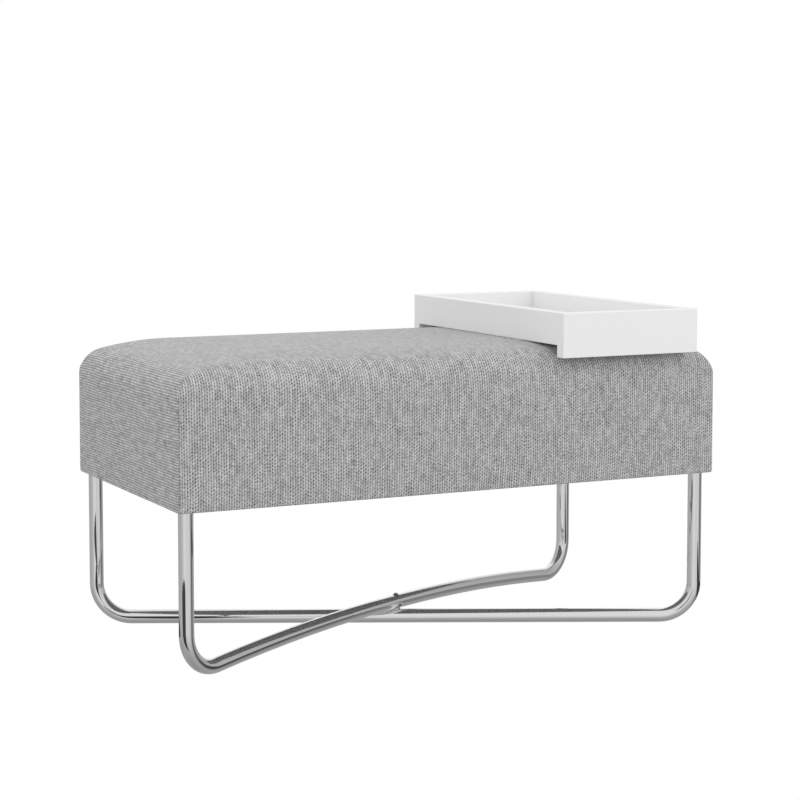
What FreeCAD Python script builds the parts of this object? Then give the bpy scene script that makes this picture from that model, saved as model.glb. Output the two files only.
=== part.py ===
"""Upholstered bench on two crossed tubes, with a box tray that straddles and slides along the seat.

Millimetres. The origin is on the floor under the middle of the bench, +X runs along the seat towards
the end where the tray stands, -Y is the front and +Z is up.
"""
import FreeCAD
import Part

import math
import os
import re

import Sketcher

Vector = FreeCAD.Vector

# Driving dimensions: one plain number each
DIMENSIONS = [
    # seat block
    ("seat_length", 900),
    ("seat_depth", 458),
    ("seat_height", 457.5),
    ("seat_underside", 244.5),
    ("corner_radius", 12),
    ("end_crown", 23),
    ("end_crown_width", 165),
    ("end_edge_radius", 31),
    ("side_crown", 4.5),
    ("side_crown_width", 83),
    ("side_edge_radius", 35),
    ("crown_corner_growth", 8),
    # upholstery
    ("cover_thickness", 1.5),
    ("side_foam_thickness", 4),
    ("top_foam_thickness", 70),
    ("foam_gap", 0.3),
    ("hem_width", 35),
    ("lining_thickness", 0.5),
    ("lining_inset", 15),
    ("staple_inset", 22),
    ("staple_pitch", 60),
    ("staple_crown", 10),
    ("staple_wire", 0.8),
    ("staple_leg", 8),
    # seat box
    ("base_board_thickness", 18),
    ("rail_thickness", 18),
    ("deck_thickness", 9),
    ("corner_block_size", 36),
    ("frame_screw_diameter", 4),
    ("frame_screw_length", 45),
    ("frame_head_diameter", 8),
    ("frame_head_height", 2.4),
    ("frame_screw_pitch", 200),
    # crossed tubes
    ("tube_diameter", 22),
    ("tube_wall", 2),
    ("bend_radius", 55),
    ("leg_setback_end", 8),
    ("leg_setback_side", 13),
    ("cross_flat", 30),
    ("saddle_gap", 1),
    ("saddle_diameter", 14),
    ("saddle_wrap", 3),
    ("saddle_clearance", 0.05),
    ("cross_screw_diameter", 5),
    ("cross_screw_length", 33),
    ("cross_head_diameter", 9.5),
    ("cross_head_top_diameter", 5),
    ("cross_head_height", 2.75),
    ("cross_socket_size", 3),
    ("cross_socket_depth", 1.6),
    ("bush_diameter", 9),
    ("bush_length", 11),
    # leg plates
    ("plate_size", 64),
    ("plate_thickness", 4),
    ("plate_rim", 0.5),
    ("plate_hole_margin", 9),
    ("recess_clearance", 0.5),
    ("plate_screw_diameter", 4.5),
    ("plate_screw_length", 16),
    ("plate_head_diameter", 9),
    ("plate_head_top_diameter", 6),
    ("plate_head_height", 2.6),
    ("plate_slot_width", 1.2),
    ("plate_slot_depth", 1.3),
    ("hole_clearance", 0.1),
    # tray
    ("tray_length", 242),
    ("tray_setback", 49),
    ("tray_board", 19),
    ("tray_clearance", 3.5),
    ("tray_rest_gap", 0.3),
    ("tray_end_height", 50),
    ("tray_skirt", 18.5),
    ("tray_edge_radius", 1.2),
    ("tray_floor_thickness", 8),
    ("floor_tongue", 5),
    ("groove_depth", 6),
    ("joint_clearance", 0.1),
    ("dowel_diameter", 8),
    ("dowel_length", 30),
    ("dowel_in_end", 18),
    ("dowel_margin", 12),
    ("dowel_spacing", 16),
]

# Dimensions that follow from the driving ones, as formulas in the same sheet
WORKED_OUT = [
    ("half_length", "seat_length / 2"),
    ("half_depth", "seat_depth / 2"),
    ("tube_radius", "tube_diameter / 2"),
    ("leg_x", "half_length - leg_setback_end - tube_radius"),
    ("leg_y", "half_depth - leg_setback_side - tube_radius"),
    ("leg_top", "seat_underside + cover_thickness"),
    ("half_diagonal", "sqrt(leg_x ^ 2 + leg_y ^ 2)"),
    ("diagonal_angle", "atan2(leg_y; leg_x) / 1deg"),
    ("tube_bore", "tube_radius - tube_wall"),
    ("bend_height", "tube_radius + bend_radius"),
    ("cross_lift", "tube_diameter + saddle_gap"),
    ("arch_top_height", "tube_radius + cross_lift"),
    ("bend_centre", "half_diagonal - bend_radius"),
    ("bend_rise", "bend_radius - cross_lift"),
    ("cross_flat_half", "cross_flat / 2"),
    ("arch_reach", "bend_centre - cross_flat_half"),
    ("arch_radius", "(arch_reach ^ 2 + bend_rise ^ 2 - bend_radius ^ 2) / (2 * cross_lift)"),
    ("arched_top", "tube_diameter + cross_lift"),
    ("cross_head_seat", "arched_top + saddle_clearance"),
    ("screw_hole", "cross_screw_diameter / 2 + hole_clearance"),
    ("bush_hole", "bush_diameter / 2 + hole_clearance"),
    ("plate_screw_hole", "plate_screw_diameter / 2 + hole_clearance"),
    ("frame_screw_hole", "frame_screw_diameter / 2 + hole_clearance"),
    ("bush_top", "tube_radius + sqrt(tube_radius ^ 2 - (bush_diameter / 2) ^ 2) - hole_clearance"),
    ("hem_radius", "cover_thickness + side_foam_thickness - foam_gap"),
    ("frame_half_x", "half_length - cover_thickness - side_foam_thickness"),
    ("frame_half_y", "half_depth - cover_thickness - side_foam_thickness"),
    ("frame_corner", "corner_radius - cover_thickness - side_foam_thickness"),
    ("rail_bottom", "leg_top + base_board_thickness"),
    ("deck_top", "seat_height - cover_thickness - foam_gap - top_foam_thickness"),
    ("rail_height", "deck_top - deck_thickness - rail_bottom"),
    ("long_rail_half", "frame_half_x - rail_thickness"),
    ("end_rail_half", "frame_half_y - rail_thickness"),
    ("plate_outer_x", "leg_x + tube_radius + plate_rim"),
    ("plate_outer_y", "leg_y + tube_radius + plate_rim"),
    ("tray_right", "half_length - tray_setback"),
    ("tray_left", "tray_right - tray_length"),
    ("tray_inner_half", "half_depth + tray_clearance"),
    ("tray_half_depth", "tray_inner_half + tray_board"),
    ("tray_underside", "seat_height + tray_rest_gap"),
    ("tray_top", "tray_underside + tray_end_height"),
    ("tray_skirt_bottom", "tray_underside - tray_skirt"),
    ("tray_side_height", "tray_end_height + tray_skirt"),
]

# Halvings that find where the crown has fallen by a given depth
HALVINGS = 60
# Depths of the crown's sections below its top, as shares of the crown's whole fall
CROWN_STEPS = [1, 0.86, 0.72, 0.58, 0.44, 0.32, 0.22, 0.13, 0.06, 0.02, 0]
# Places of the screws along a long rail and a cross rail, in screw pitches from its middle
LONG_RAIL_STEPS = [-1.5, -0.5, 0.5, 1.5]
CROSS_RAIL_STEPS = [-0.5, 0.5]
# Angles of the sections round the lower edge
HEM_ANGLES = [0, 30, 60, 90]
ENDS = {"left": -1, "right": 1}
SIDES = {"front": -1, "back": 1}
CORNERS = [(end, side) for end in ENDS for side in SIDES]

UPRIGHT = Vector(0, 0, 1)
# Turns that lay a cylinder, made along +Z, along +X or +Y
ALONG_X = FreeCAD.Rotation(Vector(0, 1, 0), 90)
ALONG_Y = FreeCAD.Rotation(Vector(1, 0, 0), -90)
# A sketch's numbers for a line's or arc's start, end and centre, and for its own origin and Y axis
START, END, CENTRE = 1, 2, 3
ORIGIN = (-1, 1)
Y_AXIS = -2
# How far apart two equal measures of a solid may be
EXACT = 1e-6

doc = FreeCAD.newDocument("Bench")
sheet = doc.addObject("Spreadsheet::Sheet", "Dims")
nodes = []


def fill_sheet():
    """Write the driving numbers and the worked-out formulas, each under its own name."""
    row = 1
    for name, number in DIMENSIONS:
        sheet.set(f"A{row}", name)
        sheet.set(f"B{row}", str(number))
        sheet.setAlias(f"B{row}", name)
        row += 1
    for name, formula in WORKED_OUT:
        sheet.set(f"A{row}", name)
        sheet.set(f"B{row}", "=" + formula)
        sheet.setAlias(f"B{row}", name)
        row += 1
    doc.recompute()


def value(name):
    """The number in the sheet under this name."""
    return float(sheet.get(name))


def linked(text):
    """An expression in which each name of the sheet is looked up in the sheet."""
    names = {name for name, _ in DIMENSIONS + WORKED_OUT}
    return re.sub(r"[a-z_]+", lambda word: "Dims." * (word[0] in names) + word[0], text)


def bind(item, expressions):
    """Tie properties of a document object to the sheet."""
    for target, text in expressions.items():
        item.setExpression(target, linked(str(text)))


def place(item, position, turn=None):
    """Put an object at a position worked out from the sheet, turned first if asked."""
    if turn is not None:
        item.Placement = FreeCAD.Placement(Vector(), turn)
    for axis, text in zip("xyz", position):
        bind(item, {f"Placement.Base.{axis}": text})


def box(label, low, size):
    """A box from its lowest corner and its three sizes."""
    item = doc.addObject("Part::Box", label)
    bind(item, dict(zip(("Length", "Width", "Height"), size)))
    place(item, low)
    return item


def cylinder(label, radius, height, base, turn=None):
    """A cylinder that stands on its base point, along +Z unless turned."""
    item = doc.addObject("Part::Cylinder", label)
    bind(item, {"Radius": radius, "Height": height})
    place(item, base, turn)
    return item


def cone(label, base_radius, top_radius, height, base):
    """A cone frustum that stands on its base point."""
    item = doc.addObject("Part::Cone", label)
    bind(item, {"Radius1": base_radius, "Radius2": top_radius, "Height": height})
    place(item, base)
    return item


def fused(label, items):
    """One solid from several that touch or overlap."""
    item = doc.addObject("Part::MultiFuse", label)
    item.Shapes = items
    return item


def grouped(label, items):
    """Separate solids kept together."""
    item = doc.addObject("Part::Compound", label)
    item.Links = items
    return item


def cut(label, base, tool):
    """What is left of the base outside the tool."""
    item = doc.addObject("Part::Cut", label)
    item.Base = base
    item.Tool = tool
    return item


def common(label, first, second):
    """The space that two solids share."""
    item = doc.addObject("Part::Common", label)
    item.Base = first
    item.Tool = second
    return item


def same(first, second):
    """Whether two measures are equal, as far as the solids are exact."""
    return abs(first - second) < EXACT


def upright(first, last):
    """Whether an edge between two points stands upright."""
    return same(first.x, last.x) and same(first.y, last.y)


def rounded(label, base, radius_name, wanted):
    """A solid with the edges that a test on their ends picks out rounded."""
    doc.recompute()
    radius = value(radius_name)
    item = doc.addObject("Part::Fillet", label)
    item.Base = base
    item.Edges = [
        (number, radius, radius)
        for number, edge in enumerate(base.Shape.Edges, start=1)
        if wanted(edge.firstVertex().Point, edge.lastVertex().Point)
    ]
    return item


def copies(label, master, places, turns=None):
    """Separate copies of one solid, each moved to a place and, if asked, turned about its own Z axis."""
    doc.recompute()
    solids = []
    for index, position in enumerate(places):
        turn = FreeCAD.Rotation(UPRIGHT, turns[index] if turns else 0)
        solid = master.Shape.copy()
        solid.Placement = FreeCAD.Placement(position, turn).multiply(solid.Placement)
        solids.append(solid)
    item = doc.addObject("Part::Feature", label)
    item.Shape = Part.makeCompound(solids)
    return item


def node(item, label):
    """Name a finished piece and keep it for writing."""
    item.Label = label
    nodes.append(item)
    return item


def sketch_on(body, role, name):
    """A sketch on one of a body's own origin planes."""
    sketch = body.newObject("Sketcher::SketchObject", name)
    plane = next(item for item in body.Origin.OriginFeatures if item.Role == role)
    sketch.AttachmentSupport = [(plane, "")]
    sketch.MapMode = "FlatFace"
    return sketch


def size(sketch, name, kind, *where):
    """A driving constraint of a sketch, named for the sheet's cell that it is tied to."""
    number = sketch.addConstraint(Sketcher.Constraint(kind, *where, value(name)))
    label = f"{name}_{number}"
    sketch.renameConstraint(number, label)
    bind(sketch, {f"Constraints.{label}": name})


def straight(start, end):
    """A line of a sketch, entered at its start and left at its end."""
    return Part.LineSegment(Vector(*start, 0), Vector(*end, 0)), START, END


def bend(centre, radius, low, high):
    """An arc of a sketch that turns the way it is followed, between two angles."""
    circle = Part.Circle(Vector(*centre, 0), UPRIGHT, radius)
    return Part.ArcOfCircle(circle, low, high), START, END


def counter_bend(centre, radius, low, high):
    """An arc of a sketch that turns against the way it is followed."""
    arc, start, end = bend(centre, radius, low, high)
    return arc, end, start


def tube_line(path, arched):
    """The middle line of a tube: two legs, two bends, and a level run or an arch that is level at its top."""
    half = value("half_diagonal")
    top = value("leg_top")
    radius = value("bend_radius")
    bend_z = value("bend_height")
    bend_x = value("bend_centre")
    arch = value("arch_radius")
    arch_top = value("arch_top_height")
    flat = value("cross_flat_half")
    lean = math.asin(value("arch_reach") / (arch + radius)) if arched else 0
    down, up = 1.5 * math.pi, 0.5 * math.pi

    if arched:
        middle = {
            "left_arch": counter_bend((-flat, arch_top - arch), arch, up, up + lean),
            "run": straight((-flat, arch_top), (flat, arch_top)),
            "right_arch": counter_bend((flat, arch_top - arch), arch, up - lean, up),
        }
    else:
        middle = {"run": straight((-bend_x, bend_z - radius), (bend_x, bend_z - radius))}
    stretches = {
        "left_leg": straight((-half, top), (-half, bend_z)),
        "left_bend": bend((-bend_x, bend_z), radius, math.pi, down + lean),
        **middle,
        "right_bend": bend((bend_x, bend_z), radius, down - lean, 2 * math.pi),
        "right_leg": straight((half, bend_z), (half, top)),
    }
    number = {}
    for name, (line, _, _) in stretches.items():
        number[name] = path.addGeometry(line)
    names = list(stretches)
    for name, following in zip(names, names[1:]):
        leave, enter = stretches[name][2], stretches[following][1]
        path.addConstraint(Sketcher.Constraint("Tangent", number[name], leave, number[following], enter))
    for name in ("left_leg", "right_leg"):
        path.addConstraint(Sketcher.Constraint("Vertical", number[name]))
    path.addConstraint(Sketcher.Constraint("Equal", number["left_bend"], number["right_bend"]))

    size(path, "bend_radius", "Radius", number["left_bend"])
    size(path, "half_diagonal", "DistanceX", number["left_leg"], START, *ORIGIN)
    size(path, "half_diagonal", "DistanceX", *ORIGIN, number["right_leg"], END)
    size(path, "leg_top", "DistanceY", *ORIGIN, number["left_leg"], START)
    size(path, "leg_top", "DistanceY", *ORIGIN, number["right_leg"], END)
    size(path, "bend_height", "DistanceY", *ORIGIN, number["left_bend"], CENTRE)
    if arched:
        size(path, "bend_height", "DistanceY", *ORIGIN, number["right_bend"], CENTRE)
        path.addConstraint(Sketcher.Constraint("Horizontal", number["run"]))
        size(path, "cross_flat_half", "DistanceX", number["run"], START, *ORIGIN)
        size(path, "cross_flat_half", "DistanceX", *ORIGIN, number["run"], END)
        size(path, "arch_top_height", "DistanceY", *ORIGIN, number["run"], START)


def bent_tube(label, side, arched):
    """A U of tube across one diagonal of the seat, drilled where the two tubes cross."""
    body = doc.addObject("PartDesign::Body", label)
    path = sketch_on(body, "XZ_Plane", label + "_path")
    tube_line(path, arched)

    # the ring is drawn a quarter turn round, so that its seam runs along the tube's side, clear of the hole
    ring = sketch_on(body, "XY_Plane", label + "_ring")
    ring.AttachmentOffset = FreeCAD.Placement(Vector(), FreeCAD.Rotation(UPRIGHT, 90))
    bind(ring, {"AttachmentOffset.Base.z": "leg_top"})
    for index, name in enumerate(("tube_radius", "tube_bore")):
        ring.addGeometry(Part.Circle(Vector(0, value("half_diagonal"), 0), UPRIGHT, value(name)))
        ring.addConstraint(Sketcher.Constraint("PointOnObject", index, CENTRE, Y_AXIS))
        size(ring, name, "Radius", index)
        size(ring, "half_diagonal", "DistanceY", *ORIGIN, index, CENTRE)

    sweep = body.newObject("PartDesign::AdditivePipe", label + "_sweep")
    sweep.Profile = ring
    sweep.Spine = path
    doc.recompute()
    plain = body.Shape.Volume

    drilling = sketch_on(body, "XY_Plane", label + "_drilling")
    drill_name = "screw_hole" if arched else "bush_hole"
    if not arched:
        bind(drilling, {"AttachmentOffset.Base.z": "tube_radius"})
    drilling.addGeometry(Part.Circle(Vector(), UPRIGHT, value(drill_name)))
    drilling.addConstraint(Sketcher.Constraint("Coincident", 0, CENTRE, *ORIGIN))
    size(drilling, drill_name, "Radius", 0)
    hole = body.newObject("PartDesign::Pocket", label + "_hole")
    hole.Profile = drilling
    hole.Type = "ThroughAll"
    hole.Reversed = True
    doc.recompute()
    if not body.Shape.Volume < plain:
        raise RuntimeError(f"the hole in {label} cuts nothing")
    body.Placement = FreeCAD.Placement(Vector(), FreeCAD.Rotation(UPRIGHT, 0))
    bind(body, {"Placement.Rotation.Angle": f"{side} * diagonal_angle"})
    return node(body, label)


def crossing():
    """The screw, saddle and threaded bush that hold the arched tube on the straight one."""
    head = cone("cross_head", "cross_head_diameter / 2", "cross_head_top_diameter / 2",
                "cross_head_height", (0, 0, "cross_head_seat"))
    shank = cylinder("cross_shank", "cross_screw_diameter / 2", "cross_screw_length",
                     (0, 0, "cross_head_seat - cross_screw_length"))
    socket = doc.addObject("Part::Prism", "cross_socket")
    socket.Polygon = 6
    bind(socket, {"Circumradius": "cross_socket_size / sqrt(3)", "Height": "cross_socket_depth"})
    place(socket, (0, 0, "cross_head_seat + cross_head_height - cross_socket_depth"))
    node(cut("cross_screw_cut", fused("cross_screw_blank", [head, shank]), socket), "cross_screw")

    blank = cylinder("saddle_blank", "saddle_diameter / 2", "saddle_gap + 2 * saddle_wrap",
                     (0, 0, "tube_diameter - saddle_wrap"))
    seats = [cylinder("saddle_bore", "screw_hole", "arched_top", (0, 0, 0))]
    for name, side, height in (("lower", -1, "tube_radius"), ("upper", 1, "arch_top_height")):
        start = ("0 - saddle_diameter * cos(diagonal_angle)",
                 f"{-side} * saddle_diameter * sin(diagonal_angle)", height)
        along = FreeCAD.Rotation(UPRIGHT, side * value("diagonal_angle")).multiply(ALONG_X)
        seats.append(cylinder(f"saddle_{name}_seat", "tube_radius + saddle_clearance", "2 * saddle_diameter",
                              start, along))
    node(cut("cross_saddle_cut", blank, fused("saddle_seats", seats)), "cross_saddle")

    bush = cylinder("bush_blank", "bush_diameter / 2", "bush_length", (0, 0, "bush_top - bush_length"))
    bore = cylinder("bush_bore", "screw_hole", "tube_diameter", (0, 0, 0))
    node(cut("cross_bush_cut", bush, bore), "cross_bush")


def plate_corner(end, side):
    """The corner of a leg plate that is lowest along X and along Y."""
    low_x = "plate_outer_x - plate_size" if end == "right" else "0 - plate_outer_x"
    low_y = "plate_outer_y - plate_size" if side == "back" else "0 - plate_outer_y"
    return low_x, low_y


def plate_spaces(label, depth):
    """The space of each leg plate with clearance round it, from below the cover to a depth in the board."""
    wide = "plate_size + 2 * recess_clearance"
    spaces = []
    for end, side in CORNERS:
        low_x, low_y = plate_corner(end, side)
        low = (f"{low_x} - recess_clearance", f"{low_y} - recess_clearance", "leg_top - 2 * cover_thickness")
        spaces.append(box(f"{label}_{side}_{end}", low, (wide, wide, f"{depth} + 2 * cover_thickness")))
    return spaces


def plate_screw_places():
    """Where the plates' screws stand: at the three corners of each plate that the tube leaves free."""
    inner = value("plate_size") - value("plate_hole_margin")
    outer = value("plate_hole_margin")
    spots = []
    for end, side in CORNERS:
        for from_x, from_y in ((inner, inner), (inner, outer), (outer, inner)):
            x = ENDS[end] * (value("plate_outer_x") - from_x)
            y = SIDES[side] * (value("plate_outer_y") - from_y)
            spots.append(Vector(x, y, value("leg_top")))
    return spots


def leg_plates():
    """Four plates let into the base board, each on the end of a tube, and their screws."""
    drill = cylinder("plate_drill", "plate_screw_hole", "plate_screw_length + 2 * hole_clearance",
                     (0, 0, "0 - hole_clearance"))
    drills = copies("plate_drills", drill, plate_screw_places())
    for end, side in CORNERS:
        label = f"leg_plate_{side}_{end}"
        low = (*plate_corner(end, side), "leg_top")
        blank = box(label + "_blank", low, ("plate_size", "plate_size", "plate_thickness"))
        node(cut(label + "_cut", blank, drills), label)

    head = cone("plate_head", "plate_head_top_diameter / 2", "plate_head_diameter / 2",
                "plate_head_height", (0, 0, "0 - plate_head_height"))
    shank = cylinder("plate_shank", "plate_screw_diameter / 2", "plate_screw_length", (0, 0, 0))
    blank = fused("plate_screw_blank", [head, shank])
    slots = []
    for name, wide, deep in (("along", "plate_head_diameter", "plate_slot_width"),
                             ("across", "plate_slot_width", "plate_head_diameter")):
        low = (f"0 - {wide} / 2", f"0 - {deep} / 2", "0 - plate_head_height")
        slots.append(box(f"plate_slot_{name}", low, (wide, deep, "plate_slot_depth")))
    screw = cut("plate_screw", blank, fused("plate_slots", slots))
    node(copies("plate_screws_set", screw, plate_screw_places()), "plate_screws")
    return drills


def frame_screw_places():
    """Where the screws through the base board stand: under each rail's middle line."""
    pitch = value("frame_screw_pitch")
    long_line = value("frame_half_y") - value("rail_thickness") / 2
    end_line = value("frame_half_x") - value("rail_thickness") / 2
    spots = [(step * pitch, side * long_line) for side in SIDES.values() for step in LONG_RAIL_STEPS]
    spots += [(line, step * pitch) for line in (-end_line, 0, end_line) for step in CROSS_RAIL_STEPS]
    return [Vector(x, y, value("leg_top")) for x, y in spots]


def seat_box(plate_drills):
    """The hidden box: base board, rails, corner blocks, top deck and the screws that join them."""
    drill = fused("frame_drill", [
        cylinder("frame_drill_shank", "frame_screw_hole", "frame_screw_length + hole_clearance", (0, 0, 0)),
        cone("frame_drill_head", "frame_head_diameter / 2 + hole_clearance", "frame_screw_hole",
             "frame_head_height + hole_clearance", (0, 0, 0)),
    ])
    drills = copies("frame_drills", drill, frame_screw_places())
    screw = fused("frame_screw", [
        cylinder("frame_shank", "frame_screw_diameter / 2", "frame_screw_length", (0, 0, 0)),
        cone("frame_head", "frame_head_diameter / 2", "frame_screw_diameter / 2",
             "frame_head_height", (0, 0, 0)),
    ])
    node(copies("frame_screws_set", screw, frame_screw_places()), "frame_screws")

    outline = ("0 - frame_half_x", "0 - frame_half_y")
    spread = ("2 * frame_half_x", "2 * frame_half_y")
    blank = box("base_board_blank", (*outline, "leg_top"), (*spread, "base_board_thickness"))
    board = rounded("base_board_round", blank, "frame_corner", upright)
    board = cut("base_board_recessed", board, fused("recesses", plate_spaces("recess", "plate_thickness")))
    board = cut("base_board_piloted", board, plate_drills)
    node(cut("base_board_drilled", board, drills), "base_board")

    for name, side in SIDES.items():
        low_y = "frame_half_y - rail_thickness" if side > 0 else "0 - frame_half_y"
        blank = box(f"{name}_rail_blank", ("0 - frame_half_x", low_y, "rail_bottom"),
                    ("2 * frame_half_x", "rail_thickness", "rail_height"))
        outer_face = side * value("frame_half_y")
        shaped = rounded(f"{name}_rail_round", blank, "frame_corner",
                         lambda first, last: upright(first, last) and same(first.y, outer_face))
        drilled = cut(f"{name}_rail_drilled", shaped, drills)
        node(cut(f"{name}_rail_piloted", drilled, plate_drills), f"{name}_rail")
    cross_rails = {
        "left_end_rail": "0 - frame_half_x",
        "centre_rail": "0 - rail_thickness / 2",
        "right_end_rail": "frame_half_x - rail_thickness",
    }
    for label, low_x in cross_rails.items():
        blank = box(label + "_blank", (low_x, "0 - end_rail_half", "rail_bottom"),
                    ("rail_thickness", "2 * end_rail_half", "rail_height"))
        drilled = cut(label + "_drilled", blank, drills)
        node(cut(label + "_piloted", drilled, plate_drills), label)

    blocks = []
    for end, side in CORNERS:
        low_x = "long_rail_half - corner_block_size" if end == "right" else "0 - long_rail_half"
        low_y = "end_rail_half - corner_block_size" if side == "back" else "0 - end_rail_half"
        blocks.append(box(f"corner_block_{side}_{end}", (low_x, low_y, "rail_bottom"),
                          ("corner_block_size", "corner_block_size", "rail_height")))
    node(grouped("corner_blocks_set", blocks), "corner_blocks")

    deck = box("top_deck_blank", (*outline, "deck_top - deck_thickness"), (*spread, "deck_thickness"))
    node(rounded("top_deck_round", deck, "frame_corner", upright), "top_deck")


def inset_for(fall, crown, width, edge):
    """How far in from a face the crown has fallen by this much: an edge round and a slow rise to the top."""
    if fall >= crown + edge:
        return 0.0
    near, far = 0.0, width
    for _ in range(HALVINGS):
        middle = (near + far) / 2
        inside = max(edge - middle, 0)
        depth = crown * (1 - middle / width) ** 2 + edge - math.sqrt(edge ** 2 - inside ** 2)
        near, far = (middle, far) if depth > fall else (near, middle)
    return near


def rounded_outline(half_x, half_y, radius, height):
    """A level rectangle with round corners, as lines and quarter arcs."""
    edges = []
    corners = [(1, 1), (-1, 1), (-1, -1), (1, -1)]
    for index, (sign_x, sign_y) in enumerate(corners):
        centre = Vector(sign_x * (half_x - radius), sign_y * (half_y - radius), height)
        start, middle, end = (
            centre + Vector(math.cos(angle), math.sin(angle), 0) * radius
            for angle in (math.pi / 2 * (index + step) for step in (0, 0.5, 1))
        )
        if edges:
            edges.append(Part.LineSegment(edges[-1].lastVertex().Point, start).toShape())
        edges.append(Part.Arc(start, middle, end).toShape())
    edges.append(Part.LineSegment(edges[-1].lastVertex().Point, edges[0].firstVertex().Point).toShape())
    return Part.Wire(edges)


def seat_form(label, inset):
    """The seat block's soft form, drawn in by an inset: round lower edge, flat sides and a crowned top."""
    half_x = value("half_length") - inset
    half_y = value("half_depth") - inset
    bottom = value("seat_underside") + inset
    top = value("seat_height") - inset
    corner = value("corner_radius") - inset
    hem = value("hem_radius") - inset
    sections = []
    for angle in HEM_ANGLES:
        turn = math.radians(angle)
        draw = hem * (1 - math.sin(turn))
        sections.append((draw, draw, corner - draw, bottom + hem * (1 - math.cos(turn))))
    whole_fall = value("end_crown") + value("end_edge_radius")
    for step in CROWN_STEPS:
        fall = step * whole_fall
        draw_x = inset_for(fall, value("end_crown"), value("end_crown_width"), value("end_edge_radius"))
        draw_y = inset_for(fall, value("side_crown"), value("side_crown_width"), value("side_edge_radius"))
        growth = min(draw_x, draw_y, value("crown_corner_growth"))
        sections.append((draw_x, draw_y, corner + growth, top - fall))
    wires = [rounded_outline(half_x - draw_x, half_y - draw_y, radius, height)
             for draw_x, draw_y, radius, height in sections]
    item = doc.addObject("Part::Feature", label)
    item.Shape = Part.makeLoft(wires, True, True)
    return item


def staple_places():
    """Where the staples stand along the lining's four sides, and how each is turned."""
    pitch = value("staple_pitch")
    line_x = value("half_length") - value("staple_inset")
    line_y = value("half_depth") - value("staple_inset")
    free_x = value("plate_outer_x") - value("plate_size") - value("staple_crown")
    free_y = value("plate_outer_y") - value("plate_size") - value("staple_crown")
    height = value("seat_underside") - value("lining_thickness")
    spots, turns = [], []
    for side in SIDES.values():
        count = int(free_x / pitch)
        for step in range(-count, count + 1):
            spots.append(Vector(step * pitch, side * line_y, height))
            turns.append(0)
    for end in ENDS.values():
        count = int(free_y / pitch)
        for step in range(-count, count + 1):
            spots.append(Vector(end * line_x, step * pitch, height))
            turns.append(90)
    return spots, turns


def upholstery():
    """Cover with its hem, the two foams, the lining under the seat and its staples."""
    skin = value("cover_thickness")
    shell = cut("cover_shell", seat_form("cover_outside", 0), seat_form("cover_inside", skin))
    opening_low = ("hem_width - half_length", "hem_width - half_depth", "seat_underside - cover_thickness")
    opening = box("hem_opening", opening_low,
                  ("seat_length - 2 * hem_width", "seat_depth - 2 * hem_width", "3 * cover_thickness"))
    hem_cut = fused("hem_cut", [opening, *plate_spaces("hem_notch", "cover_thickness")])
    node(cut("cover_hemmed", shell, hem_cut), "seat_cover")

    low = ("0 - seat_length", "0 - seat_depth")
    spread = ("2 * seat_length", "2 * seat_depth")
    foam = skin + value("foam_gap")
    above = box("above_deck", (*low, "deck_top"), (*spread, "seat_height"))
    node(common("top_foam_form", seat_form("top_foam_block", foam), above), "seat_top_foam")
    side_block = cut("side_foam_block", seat_form("side_foam_form", foam), above)
    core = box("frame_core_blank", ("0 - frame_half_x", "0 - frame_half_y", 0),
               ("2 * frame_half_x", "2 * frame_half_y", "seat_height"))
    core = rounded("frame_core", core, "frame_corner", upright)
    node(cut("side_foam_ring", side_block, core), "seat_side_foam")

    lining_low = ("lining_inset - half_length", "lining_inset - half_depth",
                  "seat_underside - lining_thickness")
    lining = box("lining_blank", lining_low,
                 ("seat_length - 2 * lining_inset", "seat_depth - 2 * lining_inset", "lining_thickness"))
    lining_cut = fused("lining_cut", plate_spaces("lining_notch", "cover_thickness"))
    node(cut("lining_notched", lining, lining_cut), "bottom_lining")

    bar = box("staple_bar", ("0 - staple_crown / 2", "0 - staple_wire / 2", "0 - staple_wire"),
              ("staple_crown", "staple_wire", "staple_wire"))
    legs = [box(f"staple_leg_{name}", (low_x, "0 - staple_wire / 2", "0 - staple_wire"),
                ("staple_wire", "staple_wire", "staple_leg"))
            for name, low_x in (("near", "0 - staple_crown / 2"), ("far", "staple_crown / 2 - staple_wire"))]
    staple = fused("staple", [bar, *legs])
    node(copies("staples_set", staple, *staple_places()), "lining_staples")


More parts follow.
